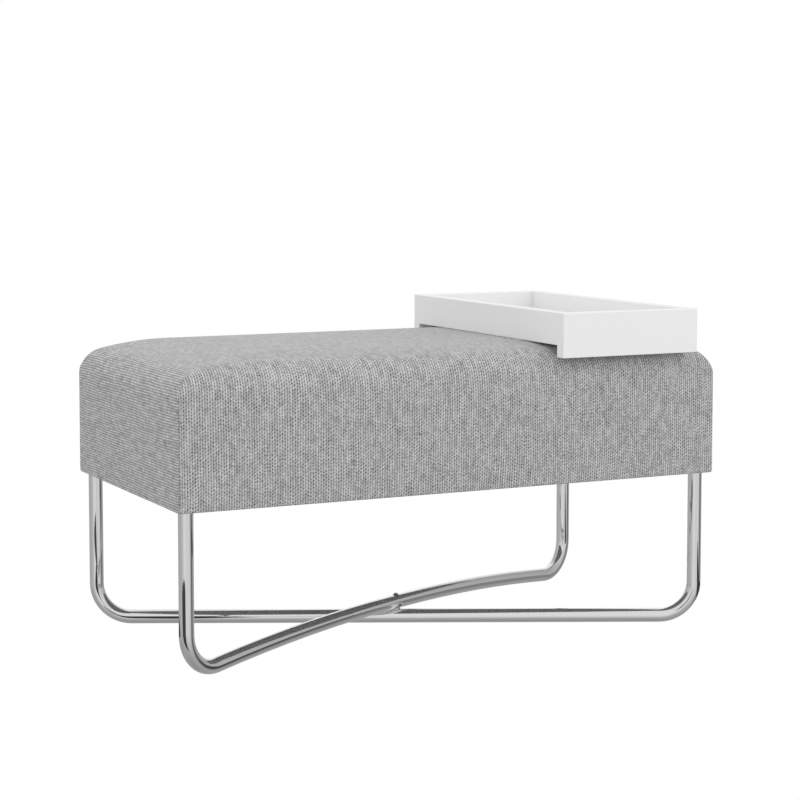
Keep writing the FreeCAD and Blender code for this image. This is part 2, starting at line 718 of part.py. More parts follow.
def tray():
    """The box tray: two long boards that hang over the seat's faces, two end boards, floor and dowels."""
    field_low = ("tray_left + tray_board + joint_clearance", "joint_clearance - tray_inner_half",
                 "tray_underside")
    field_size = ("tray_length - 2 * tray_board - 2 * joint_clearance",
                  "2 * tray_inner_half - 2 * joint_clearance", "tray_floor_thickness")
    tongue_low = ("tray_left + tray_board - groove_depth", "0 - tray_inner_half - groove_depth",
                  "tray_underside")
    tongue_size = ("tray_length - 2 * tray_board + 2 * groove_depth",
                   "2 * tray_inner_half + 2 * groove_depth", "floor_tongue")
    node(fused("tray_floor_panel", [box("floor_field", field_low, field_size),
                                    box("floor_tongues", tongue_low, tongue_size)]), "tray_floor")
    groove = box("floor_groove", tuple(f"{text} - joint_clearance" for text in tongue_low),
                 tuple(f"{text} + 2 * joint_clearance" for text in tongue_size))

    dowels, holes = [], []
    levels = {"upper": "tray_top - dowel_margin", "lower": "tray_top - dowel_margin - dowel_spacing"}
    for end, side in CORNERS:
        line_x = "tray_left + tray_board / 2" if end == "left" else "tray_right - tray_board / 2"
        # each dowel lies along Y, with its longer part in the end board
        low_y = "tray_inner_half - dowel_in_end"
        if side == "front":
            low_y = "dowel_in_end - tray_inner_half - dowel_length"
        for level, height in levels.items():
            name = f"{side}_{end}_{level}"
            dowels.append(cylinder("dowel_" + name, "dowel_diameter / 2", "dowel_length",
                                   (line_x, low_y, height), ALONG_Y))
            holes.append(cylinder("dowel_hole_" + name, "dowel_diameter / 2 + joint_clearance",
                                  "dowel_length + 2 * joint_clearance",
                                  (line_x, low_y + " - joint_clearance", height), ALONG_Y))
    node(grouped("tray_dowels_set", dowels), "tray_dowels")
    carved = fused("tray_joints", [groove, *holes])

    for name, side in SIDES.items():
        low_y = "tray_inner_half" if side > 0 else "0 - tray_half_depth"
        blank = box(f"tray_{name}_blank", ("tray_left", low_y, "tray_skirt_bottom"),
                    ("tray_length", "tray_board", "tray_side_height"))
        inner_face = side * value("tray_inner_half")
        # the end boards close against the inner face, so its upright edges stay sharp
        shaped = rounded(f"tray_{name}_round", blank, "tray_edge_radius",
                         lambda first, last: not (upright(first, last) and same(first.y, inner_face)))
        node(cut(f"tray_{name}_joined", shaped, carved), f"tray_{name}_board")
    for name, low_x in (("left", "tray_left"), ("right", "tray_right - tray_board")):
        blank = box(f"tray_{name}_blank", (low_x, "0 - tray_inner_half", "tray_underside"),
                    ("tray_board", "2 * tray_inner_half", "tray_end_height"))
        shaped = rounded(f"tray_{name}_round", blank, "tray_edge_radius",
                         lambda first, last: abs(first.y - last.y) > value("tray_board"))
        node(cut(f"tray_{name}_joined", shaped, carved), f"tray_{name}_board")


def check_and_write():
    """Refuse a failed feature or an unsound solid, then write one file for each piece."""
    doc.recompute()
    for item in doc.Objects:
        if "Invalid" in item.State or "Error" in item.State:
            raise RuntimeError(f"{item.Label} failed: {item.State}")
    for item in nodes:
        if item.Shape.isNull() or not item.Shape.isValid() or not item.Shape.Solids:
            raise RuntimeError(f"{item.Label} is not a sound solid")
    os.makedirs("parts", exist_ok=True)
    for item in nodes:
        item.Shape.exportStep(f"parts/{item.Label}.step")
        print(item.Label, len(item.Shape.Solids), round(item.Shape.Volume))


fill_sheet()
bent_tube("straight_tube", -1, False)
bent_tube("arched_tube", 1, True)
crossing()
seat_box(leg_plates())
upholstery()
tray()
check_and_write()
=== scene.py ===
"""An upholstered bench on crossed tubes, with a sliding tray: its looks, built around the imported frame.

Metres, in the frame's own axes: +X along the seat to the tray's end, -Y the front, +Z up.
"""
import math

import bpy
import numpy as np
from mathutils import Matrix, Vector


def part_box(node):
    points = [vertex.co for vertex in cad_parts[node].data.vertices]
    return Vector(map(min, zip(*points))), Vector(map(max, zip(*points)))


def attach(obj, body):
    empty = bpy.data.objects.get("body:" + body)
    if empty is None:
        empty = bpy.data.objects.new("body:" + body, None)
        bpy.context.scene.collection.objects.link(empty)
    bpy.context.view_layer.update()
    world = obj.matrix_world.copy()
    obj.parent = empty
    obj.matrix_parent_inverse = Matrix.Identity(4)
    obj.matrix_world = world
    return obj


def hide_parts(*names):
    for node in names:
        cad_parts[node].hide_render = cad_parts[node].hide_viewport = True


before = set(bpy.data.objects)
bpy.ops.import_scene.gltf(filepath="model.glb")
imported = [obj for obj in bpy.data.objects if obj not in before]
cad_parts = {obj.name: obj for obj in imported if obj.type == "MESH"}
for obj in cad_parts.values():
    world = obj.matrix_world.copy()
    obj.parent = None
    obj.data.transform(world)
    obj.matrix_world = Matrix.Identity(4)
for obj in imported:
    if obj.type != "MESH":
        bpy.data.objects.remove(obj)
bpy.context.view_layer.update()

MM = 0.001

# The photograph's view
CAMERA_PLACE = (-1.4356, -2.9297, 0.7362)
CAMERA_PITCH_DOWN = 0.0766
CAMERA_YAW = -0.4577
CAMERA_LENS_MM = 92.96
CAMERA_SHIFT_UP = -0.1
SENSOR_MM = 36

# Seat block, from the frame
SEAT_LOW, SEAT_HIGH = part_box("seat_cover")
HALF_LENGTH = SEAT_HIGH.x
HALF_DEPTH = SEAT_HIGH.y
SEAT_BOTTOM = SEAT_LOW.z
SEAT_TOP = SEAT_HIGH.z
DECK_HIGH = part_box("top_deck")[1]
DECK_TOP = DECK_HIGH.z
BOX_HALF_LENGTH = DECK_HIGH.x
FOAM_INSET = HALF_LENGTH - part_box("seat_top_foam")[1].x
SIDE_FOAM_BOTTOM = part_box("seat_side_foam")[0].z
LINING_LOW, LINING_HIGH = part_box("bottom_lining")
PLATE_LOW, PLATE_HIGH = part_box("leg_plate_back_right")

# How the padding falls away towards the seat's edges
END_CROWN = 23.4 * MM
END_CROWN_WIDTH = 167 * MM
END_EDGE = 31 * MM
BACK_CROWN = 7.0 * MM
BACK_CROWN_WIDTH = 95 * MM
FRONT_CROWN = 12.0 * MM
FRONT_CROWN_WIDTH = 122 * MM
SIDE_EDGE = 35 * MM
CROWN_POWER = 3.36

# Grid of the padded form: lines round an edge, and steps on the crown and in the middle
EDGE_LINES = 17
CROWN_STEP = 9 * MM
MIDDLE_STEP = 14 * MM

# Cover and its hem
CORNER_RADIUS = 5.5 * MM
COVER_THICKNESS = 1.5 * MM
SIDE_ROWS = 20
ROLL_ROWS = 4
HEM_ROWS = 4
HEM_ROLL = 3 * MM
HEM_DROP = 1 * MM
HEM_RISE_POWER = 4
HEM_WIDTH = 35 * MM
HEM_SNIP = 12 * MM
NOTCH_CLEARANCE = 0.6 * MM

# Sewn corners: a groove that widens over the top's edge, and a swell beside it
SEAM_DEPTH = 0.8 * MM
SEAM_WIDTH = 1.1 * MM
SEAM_WIDENS = 0.08
SEAM_ASIDE = 0.75
SEAM_SWELL = 0.25 * MM
SEAM_SWELL_AT = 4.5 * MM
SEAM_SWELL_WIDTH = 2.5 * MM
SEAM_FADE_LOW = 0.424
SEAM_FADE_HIGH = 0.443
SEAM_STARTS_BELOW = 1 * MM

# How the taut cloth swells over its foam
SWELL_PRESSURE = 0.3
SWELL_STIFFNESS = 15
SWELL_BENDING = 2
SWELL_AIR_DAMPING = 3
SWELL_FRAMES = 8
SWELL_CAP = 3 * MM
HELD_ABOVE_HEM = 6 * MM
HELD_SEAM = 0.5

# Foam, and the share of the side foam's thickness that its lower edge is rounded by
FOAM_WALL_ROWS = 4
SIDE_FOAM_ROUND = 0.8
SIDE_FOAM_ROUND_ROWS = 5

# Lining: how it sags inside its edge, with a slow unevenness and short pulls between the staples
LINING_STEP = 6 * MM
LINING_TAUT = 8 * MM
LINING_SLACK = 90 * MM
LINING_SAG = 2.2 * MM
UNEVEN_SHARE = 0.2
UNEVEN_X = 7
UNEVEN_START = 2
UNEVEN_Y = 9
PULL_DEPTH = 0.6 * MM
PULL_PITCH = 60 * MM
PULL_REACH = 45 * MM

TINY = 1e-9


def smooth_step(low, high, value):
    """0 below low, 1 above high, and an eased rise between them."""
    share = np.clip((value - low) / (high - low), 0, 1)
    return share * share * (3 - 2 * share)


# Shader building


def feed(tree, socket, value):
    """Links an output to a socket, or sets the socket to a plain value."""
    if isinstance(value, bpy.types.NodeSocket):
        tree.links.new(value, socket)
    else:
        socket.default_value = value


def add_node(tree, kind, inputs=None, **settings):
    """A shader node with its settings made and each input set to a value or linked to a socket."""
    made = tree.nodes.new("ShaderNode" + kind)
    for name, value in settings.items():
        setattr(made, name, value)
    for key, value in (inputs or {}).items():
        feed(tree, made.inputs[key], value)
    return made


def calc(tree, operation, *values):
    """The result of a Math node on sockets and numbers."""
    return add_node(tree, "Math", dict(enumerate(values)), operation=operation).outputs[0]


def remap(tree, value, ends, results=(0.0, 1.0)):
    """value brought from between two ends to between two results, with an eased, clamped step."""
    inputs = {"Value": value, "From Min": ends[0], "From Max": ends[1],
              "To Min": results[0], "To Max": results[1]}
    return add_node(tree, "MapRange", inputs, interpolation_type="SMOOTHSTEP").outputs["Result"]


def mix_colour(tree, share, first, second, blend="MIX"):
    """Two colours mixed by a share."""
    made = add_node(tree, "Mix", data_type="RGBA", blend_type=blend)
    for socket, value in ((made.inputs[0], share), (made.inputs[6], first), (made.inputs[7], second)):
        feed(tree, socket, value)
    return made.outputs[2]


def noise(tree, vector, scale, detail=2.0, roughness=0.5):
    """A noise texture's value, from 0 to 1."""
    inputs = {"Vector": vector, "Scale": scale, "Detail": detail, "Roughness": roughness}
    return add_node(tree, "TexNoise", inputs).outputs["Fac"]


def stretch(tree, vector, scale):
    """Coordinates multiplied by a scale for each axis."""
    return add_node(tree, "VectorMath", {0: vector, 1: scale}, operation="MULTIPLY").outputs[0]


def from_half(tree, value):
    """How far a value lies above a half."""
    return calc(tree, "SUBTRACT", value, 0.5)


def shade_by(tree, mask, depth):
    """1 where a mask is 0, and less by a depth where it is 1."""
    return calc(tree, "SUBTRACT", 1.0, calc(tree, "MULTIPLY", mask, depth))


def grey(value):
    """An even grey as a colour."""
    return (value, value, value, 1)


def new_group(name, inputs, outputs):
    """An empty node group with named sockets, given as (name, kind, default) and (name, kind)."""
    tree = bpy.data.node_groups.new(name, "ShaderNodeTree")
    for label, kind, default in inputs:
        socket = tree.interface.new_socket(label, in_out="INPUT", socket_type="NodeSocket" + kind)
        if default is not None:
            socket.default_value = default
    for label, kind in outputs:
        tree.interface.new_socket(label, in_out="OUTPUT", socket_type="NodeSocket" + kind)
    return tree, tree.nodes.new("NodeGroupInput").outputs, tree.nodes.new("NodeGroupOutput").inputs


def place_group(tree, group, inputs):
    """A node group placed in a material with its own values."""
    made = tree.nodes.new("ShaderNodeGroup")
    made.node_tree = group
    for key, value in inputs.items():
        feed(tree, made.inputs[key], value)
    return made.outputs


def new_material(name, **constants):
    """A material with one Principled shader, its constants set on the shader's own sockets."""
    material = bpy.data.materials.new(name)
    material.use_nodes = True
    tree = material.node_tree
    shader = tree.nodes["Principled BSDF"]
    for key, value in constants.items():
        shader.inputs[key.replace("_", " ")].default_value = value
    return material, tree, shader.inputs


def object_place(tree):
    """Coordinates in metres that stay with the object."""
    return add_node(tree, "TexCoord").outputs["Object"]


def bump(tree, height, distance, strength=1.0):
    """A normal raised by a height, with the bump's depth in metres."""
    inputs = {"Height": height, "Distance": distance, "Strength": strength}
    return add_node(tree, "Bump", inputs).outputs["Normal"]


# Effects that several materials share

PORE_STRETCH = (1.5, 9.0, 9.0)
PORE_ENDS = (0.56, 0.7)
PORE_DEPTH = 0.1 * MM
PORE_STRENGTH = 0.5
FIGURE_ENDS = (0.3, 0.72)


def handling_group():
    """Faint cloudiness of a finished surface: roughness that drifts, and a slow ripple in its height."""
    tree, given, made = new_group(
        "handling",
        [("Place", "Vector", None), ("Cloud Scale", "Float", 20.0), ("Ripple Scale", "Float", 300.0),
         ("Roughness", "Float", 0.2), ("Spread", "Float", 0.05)],
        [("Roughness", "Float"), ("Ripple", "Float"), ("Cloud", "Float")])
    cloud = noise(tree, given["Place"], given["Cloud Scale"], detail=4.0, roughness=0.6)
    offset = calc(tree, "MULTIPLY", from_half(tree, cloud), given["Spread"])
    tree.links.new(calc(tree, "ADD", given["Roughness"], offset), made["Roughness"])
    tree.links.new(noise(tree, given["Place"], given["Ripple Scale"], detail=1.0), made["Ripple"])
    tree.links.new(cloud, made["Cloud"])
    return tree


def wood_group():
    """Long wood figure: pores and growth lines drawn out along the grain's own axis."""
    tree, given, made = new_group(
        "wood_figure",
        [("Place", "Vector", None), ("Along", "Vector", (4.0, 60.0, 60.0)), ("Light", "Color", grey(0.6)),
         ("Dark", "Color", grey(0.3)), ("Pores", "Float", 0.4)],
        [("Color", "Color"), ("Height", "Float")])
    drawn = stretch(tree, given["Place"], given["Along"])
    figure = noise(tree, drawn, scale=1.0, detail=5.0, roughness=0.6)
    pores = remap(tree, noise(tree, stretch(tree, drawn, PORE_STRETCH), scale=1.0), PORE_ENDS)
    dark_pores = calc(tree, "MULTIPLY", pores, given["Pores"])
    shade = calc(tree, "ADD", remap(tree, figure, FIGURE_ENDS), dark_pores)
    shade = calc(tree, "MINIMUM", shade, 1.0)
    tree.links.new(mix_colour(tree, shade, given["Light"], given["Dark"]), made["Color"])
    tree.links.new(calc(tree, "SUBTRACT", 1.0, pores), made["Height"])
    return tree


HANDLING = handling_group()
WOOD = wood_group()


# Weave of the cover: lengths in metres, scales in steps of noise per metre, and the rest as shares
# of a rib, of a step along it, or of a tone
RIB_PITCH = 3.95 * MM
RIB_SWAY = 4 * MM
RIB_SWAY_SCALE = 9.0
GRAIN_PITCH = 5.1 * MM
HALF_STEP = 0.5
PICK_WANDER = 1.3
PICK_WANDER_SCALE = 45.0
BEAD_WANDER = 0.7
RIB_TONE_SCALE = 60.0
WEAVE_DEPTH = 0.4 * MM
# Painted shade: dark dots where a pick sinks between two ribs, fewer where the weave is closer
DOT_WIDTH = 0.8
DOT_LENGTH = 0.32
DOT_EDGE = (0.1, 1.0)
DOT_STRENGTH = (0.55, 1.0)
DOT_PAINTED_SHADE = 0.82
DOT_SINK = 0.8
OPEN_STRETCH = (1.0, 0.6, 1.0)
OPEN_SCALE = 60.0
OPEN_ENDS = (0.32, 0.68)
OPEN_STRENGTH = (0.62, 1.0)
# Yarn tones with a painted highlight mid-grain, painted shade in furrows and seams, thick dark yarns and
# loose fibres
RIB_TONE = 0.6
FIBRE_TONE = 0.2
# Painted highlight in the middle of each grain, its strength random
BEAD_HIGHLIGHT = 0.25
TONE_ENDS = (0.2, 0.75)
YARN_DARK = 0.337
YARN_LIGHT = 0.61
# Painted shade in the furrows between the ribs
FURROW_ENDS = (0.0, 0.9)
FURROW_PAINTED_SHADE = (0.7, 1.0)
SLUB_STRETCH = (1.0, 0.5, 1.0)
SLUB_SCALE = 120.0
SLUB_ENDS = (0.58, 0.76)
SLUB_SHADE = 0.26
FIBRE_STRETCH = (2.0, 1.0, 1.0)
FIBRE_SCALE = 700.0
FIBRE_RISE = 0.25
# Painted shade along the sewn corners
SEAM_PAINTED_SHADE = 0.2
# Slices of the noises, so that no two of them run alike
FURROW_SLICE = 3.5
RIB_SLICE = 7.5
DOT_SLICE = 0.5
BEAD_SLICE = 4.5


def line_noise(tree, line, along, scale, slice_at, detail):
    """A noise that runs along each numbered line of the weave on its own."""
    inputs = {0: line, 1: calc(tree, "MULTIPLY", along, scale), 2: slice_at}
    return noise(tree, add_node(tree, "CombineXYZ", inputs).outputs[0], 1.0, detail)


def cell_chance(tree, line, step, slice_at):
    """A chance value from 0 to 1 for each step of each line of the weave."""
    cell = add_node(tree, "CombineXYZ", {0: line, 1: step, 2: slice_at}).outputs[0]
    return add_node(tree, "TexWhiteNoise", {"Vector": cell}, noise_dimensions="3D").outputs["Value"]


def steps_along(tree, line, along, wander):
    """Steps counted along a line of the weave, half a step on in every other line."""
    odd = calc(tree, "FLOORED_MODULO", line, 2.0)
    start = calc(tree, "MULTIPLY_ADD", odd, HALF_STEP, wander)
    return calc(tree, "ADD", calc(tree, "DIVIDE", along, GRAIN_PITCH), start)


def woven_cover():
    """Grey upholstery cloth: thick ribs of twisted yarns crossed by grains, light and dark yarns mixed,
    with painted shade in its furrows, sunk dots and seams, and a painted highlight along each grain.
    """
    material, tree, shader = new_material(
        "woven_cover", Roughness=0.92, Specular_IOR_Level=0.15, Sheen_Weight=0.42, Sheen_Roughness=0.22)
    cloth = add_node(tree, "UVMap", uv_map="cloth").outputs["UV"]
    sway = from_half(tree, noise(tree, cloth, RIB_SWAY_SCALE, detail=1.0))
    split = add_node(tree, "SeparateXYZ", {0: cloth}).outputs
    across = calc(tree, "ADD", split["X"], calc(tree, "MULTIPLY", sway, RIB_SWAY))
    along = split["Y"]
    ribs = calc(tree, "DIVIDE", across, RIB_PITCH)
    rib = calc(tree, "FLOOR", ribs)
    # Painted shade in the furrows between the ribs, and a dot of painted shade where each pick sinks
    furrow = calc(tree, "ROUND", ribs)
    crest = calc(tree, "MULTIPLY", calc(tree, "ABSOLUTE", calc(tree, "SUBTRACT", ribs, furrow)), 2.0)
    wander = from_half(tree, line_noise(tree, furrow, along, PICK_WANDER_SCALE, FURROW_SLICE, 1.0))
    picks = steps_along(tree, furrow, along, calc(tree, "MULTIPLY", wander, PICK_WANDER))
    pick = calc(tree, "FLOOR", picks)
    pick_place = calc(tree, "ABSOLUTE", from_half(tree, calc(tree, "SUBTRACT", picks, pick)))
    dot_across = calc(tree, "POWER", calc(tree, "DIVIDE", crest, DOT_WIDTH), 2.0)
    dot_along = calc(tree, "POWER", calc(tree, "DIVIDE", pick_place, DOT_LENGTH), 2.0)
    dot = remap(tree, calc(tree, "ADD", dot_across, dot_along), DOT_EDGE, (1.0, 0.0))
    dot_chance = remap(tree, cell_chance(tree, furrow, pick, DOT_SLICE), (0.0, 1.0), DOT_STRENGTH)
    open_noise = noise(tree, stretch(tree, cloth, OPEN_STRETCH), OPEN_SCALE)
    open_weave = remap(tree, open_noise, OPEN_ENDS, OPEN_STRENGTH)
    dot = calc(tree, "MULTIPLY", dot, calc(tree, "MULTIPLY", open_weave, dot_chance))
    # Grains along each rib, as beads of twisted yarns: each lighter in its middle by a random amount, a
    # painted highlight
    rib_tone = line_noise(tree, rib, along, RIB_TONE_SCALE, RIB_SLICE, 2.0)
    grains = steps_along(tree, rib, along, calc(tree, "MULTIPLY", rib_tone, BEAD_WANDER))
    grain = calc(tree, "FLOOR", grains)
    bead_highlight = calc(tree, "SINE", calc(tree, "MULTIPLY", calc(tree, "SUBTRACT", grains, grain), math.pi))
    bead_highlight_strength = calc(tree, "MULTIPLY", cell_chance(tree, rib, grain, BEAD_SLICE), BEAD_HIGHLIGHT)
    slub = remap(tree, noise(tree, stretch(tree, cloth, SLUB_STRETCH), SLUB_SCALE), SLUB_ENDS)
    fibre = noise(tree, stretch(tree, cloth, FIBRE_STRETCH), FIBRE_SCALE)
    fibre_tone = calc(tree, "MULTIPLY", fibre, FIBRE_TONE)
    tone = calc(tree, "ADD", calc(tree, "MULTIPLY", rib_tone, RIB_TONE), fibre_tone)
    # The painted highlight of each grain joins the random yarn tone here
    tone = calc(tree, "ADD", tone, calc(tree, "MULTIPLY", bead_highlight, bead_highlight_strength))
    yarn_and_highlight = mix_colour(tree, remap(tree, tone, TONE_ENDS), grey(YARN_DARK), grey(YARN_LIGHT))
    seam = add_node(tree, "Attribute", attribute_name="seam").outputs["Fac"]
    # Painted shade: darker in the furrows and at the sunk dots
    furrow_painted_shade = remap(tree, crest, FURROW_ENDS, FURROW_PAINTED_SHADE)
    weave_painted_shade = calc(tree, "MULTIPLY", furrow_painted_shade, shade_by(tree, dot, DOT_PAINTED_SHADE))
    # The slubs' dark yarns, and painted shade along the sewn corners' grooves
    slub_shade = shade_by(tree, slub, SLUB_SHADE)
    slub_tone_and_seam_shade = calc(tree, "MULTIPLY", slub_shade, shade_by(tree, seam, SEAM_PAINTED_SHADE))
    # All the painted shade, with the slubs' dark tone, darkens the yarn colour and its painted highlight
    shade = calc(tree, "MULTIPLY", weave_painted_shade, slub_tone_and_seam_shade)
    tree.links.new(mix_colour(tree, 1.0, yarn_and_highlight, shade, "MULTIPLY"), shader["Base Color"])
    crest_round = calc(tree, "SINE", calc(tree, "MULTIPLY", crest, math.pi / 2))
    raised = calc(tree, "MULTIPLY_ADD", fibre, FIBRE_RISE, crest_round)
    height = calc(tree, "SUBTRACT", raised, calc(tree, "MULTIPLY", dot, DOT_SINK))
    tree.links.new(bump(tree, height, WEAVE_DEPTH), shader["Normal"])
    return material


# The other materials

PLY = 3.0 * MM
PLY_ENDS = (0.2, 0.3)
PLY_SHADE = (0.72, 1.0)
FACE_LEVEL = (0.4, 0.6)
FOAM_WARM = (0.80, 0.78, 0.70, 1)
FOAM_PALE = (0.86, 0.85, 0.79, 1)
FOAM_CELL_SCALE = 900.0
FOAM_DRIFT_SCALE = 12.0
# Painted shade of the foam's open cells
FOAM_CELL_ENDS = (0.2, 0.6)
FOAM_CELL_SHADE = (0.0, 0.35)
FOAM_CELL_SHADE_GREY = 0.5
FOAM_CELL_DEPTH = 0.4 * MM
FOAM_CELL_STRENGTH = 0.7
LINING_DOT_PITCH = 3.2 * MM
LINING_DOT_ENDS = (0.45, 0.75)
LINING_DOT_GREY = 0.225
LINING_DARK = 0.245
LINING_LIGHT = 0.295
LINING_FIBRE_SCALE = 600.0
LINING_FIBRE_RISE = 0.5
LINING_RELIEF = 0.05 * MM


def drifting_finish(name, cloud, ripple, roughness, spread, dark, light, relief, strength, **constants):
    """A finish whose shade, gloss and fine relief all drift a little over the surface."""
    material, tree, shader = new_material(name, **constants)
    marks = place_group(tree, HANDLING, {"Place": object_place(tree), "Cloud Scale": cloud,
                                         "Ripple Scale": ripple, "Roughness": roughness, "Spread": spread})
    tree.links.new(mix_colour(tree, marks["Cloud"], grey(dark), grey(light)), shader["Base Color"])
    tree.links.new(marks["Roughness"], shader["Roughness"])
    tree.links.new(bump(tree, marks["Ripple"], relief, strength), shader["Normal"])
    return material


def chrome_tube():
    """Bright chrome plate with the faintest ripple and cloudiness."""
    return drifting_finish("chrome_tube", cloud=35.0, ripple=900.0, roughness=0.045, spread=0.03,
                           dark=0.9, light=0.94, relief=0.01 * MM, strength=0.3, Metallic=1.0)


def plated_steel():
    """Zinc plate on screws, plates and staples: grey, a little mottled, with a fine grain."""
    return drifting_finish("plated_steel", cloud=120.0, ripple=2500.0, roughness=0.3, spread=0.2,
                           dark=0.48, light=0.72, relief=0.05 * MM, strength=0.4, Metallic=1.0)


def white_lacquer():
    """Sprayed satin lacquer: white, with a fine orange peel and a faintly clouded gloss."""
    return drifting_finish("white_lacquer", cloud=14.0, ripple=700.0, roughness=0.38, spread=0.12,
                           dark=0.775, light=0.80, relief=0.03 * MM, strength=0.5, Specular_IOR_Level=0.4)


def bare_wood(name, light, dark, along, pores):
    """Bare wood with its figure along one axis, and what its colour is made from."""
    material, tree, shader = new_material(name, Roughness=0.62)
    figure = place_group(tree, WOOD, {"Place": object_place(tree), "Along": along, "Light": light,
                                      "Dark": dark, "Pores": pores})
    tree.links.new(figure["Color"], shader["Base Color"])
    tree.links.new(bump(tree, figure["Height"], PORE_DEPTH, PORE_STRENGTH), shader["Normal"])
    return material, tree, shader, figure["Color"]


def beech():
    """Beech rails and blocks, with a fine figure along the depth."""
    return bare_wood("beech", light=(0.66, 0.46, 0.30, 1), dark=(0.50, 0.31, 0.18, 1),
                     along=(60.0, 5.0, 60.0), pores=0.3)[0]


def plywood():
    """Birch plywood: pale face veneer, with light and dark plies where an edge shows."""
    material, tree, shader, veneer = bare_wood(
        "plywood", light=(0.72, 0.56, 0.38, 1), dark=(0.55, 0.39, 0.23, 1),
        along=(5.0, 70.0, 70.0), pores=0.35)
    height = add_node(tree, "SeparateXYZ", {0: object_place(tree)}).outputs["Z"]
    plies = calc(tree, "FRACT", calc(tree, "DIVIDE", height, PLY))
    ply_shade = remap(tree, calc(tree, "ABSOLUTE", from_half(tree, plies)), PLY_ENDS, PLY_SHADE)
    facing = add_node(tree, "NewGeometry").outputs["True Normal"]
    level = calc(tree, "ABSOLUTE", add_node(tree, "SeparateXYZ", {0: facing}).outputs["Z"])
    shade = calc(tree, "MAXIMUM", ply_shade, remap(tree, level, FACE_LEVEL))
    tree.links.new(mix_colour(tree, 1.0, veneer, shade, "MULTIPLY"), shader["Base Color"])
    return material


def foam():
    """Upholstery foam: pale, matt, with open cells and painted shade in them."""
    material, tree, shader = new_material("foam", Roughness=0.95, Specular_IOR_Level=0.1)
    place = object_place(tree)
    cells = add_node(tree, "TexVoronoi", {"Vector": place, "Scale": FOAM_CELL_SCALE}).outputs["Distance"]
    drift = noise(tree, place, FOAM_DRIFT_SCALE, detail=3.0)
    skin = mix_colour(tree, drift, FOAM_WARM, FOAM_PALE)
    # Painted shade for the open cells, greyer where the cell distance is large
    painted_cell_shade = remap(tree, cells, FOAM_CELL_ENDS, FOAM_CELL_SHADE)
    tree.links.new(mix_colour(tree, painted_cell_shade, skin, grey(FOAM_CELL_SHADE_GREY)), shader["Base Color"])
    tree.links.new(bump(tree, cells, FOAM_CELL_DEPTH, FOAM_CELL_STRENGTH), shader["Normal"])
    return material


def lining():
    """Grey spunbonded lining: a felt of fibres with rows of pressed dots."""
    material, tree, shader = new_material("lining", Roughness=0.88, Specular_IOR_Level=0.2)
    place = object_place(tree)
    split = add_node(tree, "SeparateXYZ", {0: place}).outputs
    slanting = [calc(tree, operation, split["X"], split["Y"]) for operation in ("ADD", "SUBTRACT")]
    turn_per_metre = math.tau / LINING_DOT_PITCH
    waves = [calc(tree, "SINE", calc(tree, "MULTIPLY", line, turn_per_metre)) for line in slanting]
    dots = remap(tree, calc(tree, "MULTIPLY", *waves), LINING_DOT_ENDS)
    fibres = noise(tree, place, LINING_FIBRE_SCALE, detail=4.0, roughness=0.7)
    felt = mix_colour(tree, fibres, grey(LINING_DARK), grey(LINING_LIGHT))
    tree.links.new(mix_colour(tree, dots, felt, grey(LINING_DOT_GREY)), shader["Base Color"])
    height = calc(tree, "SUBTRACT", calc(tree, "MULTIPLY", fibres, LINING_FIBRE_RISE), dots)
    tree.links.new(bump(tree, height, LINING_RELIEF), shader["Normal"])
    return material


FINISHES = {
    "woven_cover": woven_cover(),
    "chrome_tube": chrome_tube(),
    "plated_steel": plated_steel(),
    "white_lacquer": white_lacquer(),
    "plywood": plywood(),
    "beech": beech(),
    "foam": foam(),
    "lining": lining(),
}

for cad_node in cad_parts.values():
    cad_node.material_slots[0].material = FINISHES[cad_node.material_slots[0].name.split(".")[0]]


# Meshes


def new_piece(name, points, faces, slot):
    """An object made of points and faces, finished with the slot's material and riding on the bench."""
    mesh = bpy.data.meshes.new(name)
    mesh.from_pydata([tuple(map(float, p)) for p in points], [], faces)
    mesh.materials.append(FINISHES[slot])
    mesh.shade_smooth()
    piece = bpy.data.objects.new(name, mesh)
    bpy.context.scene.collection.objects.link(piece)
    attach(piece, "bench")
    return piece


def fall(distance, crown, width, edge):
    """How far the top has fallen, a distance in from a side: the crown's slope and the rounded edge."""
    rounded = edge - np.sqrt(edge ** 2 - np.clip(edge - distance, 0, edge) ** 2)
    return crown * np.clip(1 - distance / width, 0, 1) ** 2 + rounded


def top_height(x, y, inset=0.0):
    """Height of the padded top over a point of the plan, or of a layer inset below it."""
    from_end = np.maximum(HALF_LENGTH - inset - np.abs(x), 0)
    from_side = np.maximum(HALF_DEPTH - inset - np.abs(y), 0)
    side_crown = np.where(y < 0, FRONT_CROWN, BACK_CROWN)
    side_width = np.where(y < 0, FRONT_CROWN_WIDTH, BACK_CROWN_WIDTH)
    end = fall(from_end, END_CROWN, END_CROWN_WIDTH, END_EDGE - inset)
    side = fall(from_side, side_crown, side_width, SIDE_EDGE - inset)
    return SEAT_TOP - inset - (end ** CROWN_POWER + side ** CROWN_POWER) ** (1 / CROWN_POWER)


def grid_lines(half, crown_width):
    """Places of the grid lines from side to side: close at the rounded edges, wide in the middle."""
    turns = np.linspace(math.pi / 2, 0, EDGE_LINES)
    edge = SIDE_EDGE * (1 - np.sin(turns))
    crown_steps = max(2, round((crown_width - SIDE_EDGE) / CROWN_STEP))
    crown = np.linspace(SIDE_EDGE, crown_width, crown_steps + 1)[1:]
    middle_steps = 2 * max(1, round((half - crown_width) / MIDDLE_STEP))
    middle = np.linspace(crown_width, 2 * half - crown_width, middle_steps + 1)[1:-1]
    inward = np.concatenate([edge, crown])
    return np.concatenate([inward, middle, 2 * half - inward[::-1]]) - half


